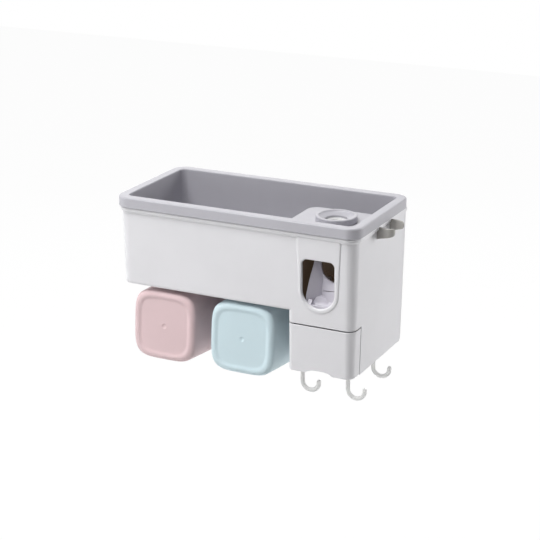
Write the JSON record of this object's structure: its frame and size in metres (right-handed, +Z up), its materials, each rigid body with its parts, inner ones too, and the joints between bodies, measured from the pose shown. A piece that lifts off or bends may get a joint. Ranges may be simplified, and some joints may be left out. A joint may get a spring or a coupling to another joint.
{
  "type": "toothpaste dispenser",
  "caption": "Wall-hung bathroom organiser with a toothpaste squeezer, open tray, two cups, drawer, swivel hooks and a side clip.",
  "frame": {"origin": "centre of the sticky face that meets the wall", "axes": "+X to the right as seen from the room, +Y into the wall, +Z up"},
  "size_m": [0.2745, 0.1319, 0.1748],
  "materials": {
    "white_abs": "satin moulded ABS",
    "grey_abs": "fine matt moulded ABS",
    "dark_housing": "dark inner housing",
    "lever_plastic": "satin moulded ABS, faint lilac",
    "pump_plastic": "natural moulded plastic",
    "silicone": "soft silicone",
    "frosted_plastic": "slightly frosted plastic",
    "pink_plastic": "matt polypropylene",
    "blue_plastic": "matt polypropylene",
    "steel": "plain steel",
    "clear_adhesive": "clear acrylic adhesive sheet"
  },
  "bodies": {
    "wall": {"wall_plate": "white_abs", "adhesive_pad": "clear_adhesive"},
    "organiser": {"body_shell": "white_abs", "back_panel": "white_abs", "dispenser_bezel": "white_abs", "squeezer_housing": "dark_housing", "lever_pivot_pin": "steel", "lever_spring": "steel", "pump_body": "pump_plastic", "paste_nozzle": "silicone", "drawer_runner_left": "pump_plastic", "drawer_runner_right": "pump_plastic", "floor_plate": "white_abs", "side_clip": "frosted_plastic", "cup_seat_pink": "white_abs", "cup_seat_blue": "white_abs", "back_screw_1": "steel", "back_screw_2": "steel", "back_screw_3": "steel", "back_screw_4": "steel", "housing_screw_1": "steel", "housing_screw_2": "steel", "floor_screw_1": "steel", "floor_screw_2": "steel"},
    "tray": {"storage_tray": "grey_abs", "tube_collar": "grey_abs", "tube_seal": "silicone"},
    "drawer_body": {"drawer": "white_abs"},
    "lever": {"push_lever": "lever_plastic"},
    "plunger": {"pump_plunger": "pump_plastic"},
    "cup_pink_body": {"cup_pink": "pink_plastic"},
    "cup_blue_body": {"cup_blue": "blue_plastic"},
    "swivel_front_left": {"hook_front_left": "frosted_plastic", "hook_cap_front_left": "frosted_plastic"},
    "swivel_front_right": {"hook_front_right": "frosted_plastic", "hook_cap_front_right": "frosted_plastic"},
    "swivel_rear_right": {"hook_rear_right": "frosted_plastic", "hook_cap_rear_right": "frosted_plastic"}
  },
  "joints": [
    {"name": "body_lift", "type": "slide", "parent": "wall", "child": "organiser", "axis": [0, 0, 1], "range_m": [0, 0.011]},
    {"name": "tray_lift", "type": "slide", "parent": "organiser", "child": "tray", "axis": [0, 0, 1], "range_m": [0, 0.09]},
    {"name": "drawer_slide", "type": "slide", "parent": "organiser", "child": "drawer_body", "axis": [0, -1, 0], "range_m": [0, 0.07]},
    {"name": "lever_push", "type": "hinge", "parent": "organiser", "child": "lever", "pos_m": [0.0892, -0.1189, 0.0245], "axis": [1, 0, 0], "range_deg": [0, 12], "stiffness_Nm_per_rad": 0.3, "springref_deg": -17.19},
    {"name": "plunger_slide", "type": "slide", "parent": "organiser", "child": "plunger", "axis": [0, 1, 0], "range_m": [0, 0.0083]},
    {"name": "cup_pink_slide", "type": "slide", "parent": "organiser", "child": "cup_pink_body", "axis": [0, -0.9976, 0.0698], "range_m": [0, 0.115]},
    {"name": "cup_blue_slide", "type": "slide", "parent": "organiser", "child": "cup_blue_body", "axis": [0, -0.9976, 0.0698], "range_m": [0, 0.115]},
    {"name": "swivel_front_left", "type": "hinge", "parent": "organiser", "child": "swivel_front_left", "pos_m": [0.0683, -0.1162, -0.1035], "axis": [0, 0, 1], "continuous": true},
    {"name": "swivel_front_right", "type": "hinge", "parent": "organiser", "child": "swivel_front_right", "pos_m": [0.116, -0.1162, -0.1035], "axis": [0, 0, 1], "continuous": true},
    {"name": "swivel_rear_right", "type": "hinge", "parent": "organiser", "child": "swivel_rear_right", "pos_m": [0.116, -0.0541, -0.1035], "axis": [0, 0, 1], "continuous": true}
  ],
  "couplings": [
    {"joint": "plunger_slide", "follows": "lever_push", "m_per_rad": 0.0395}
  ]
}
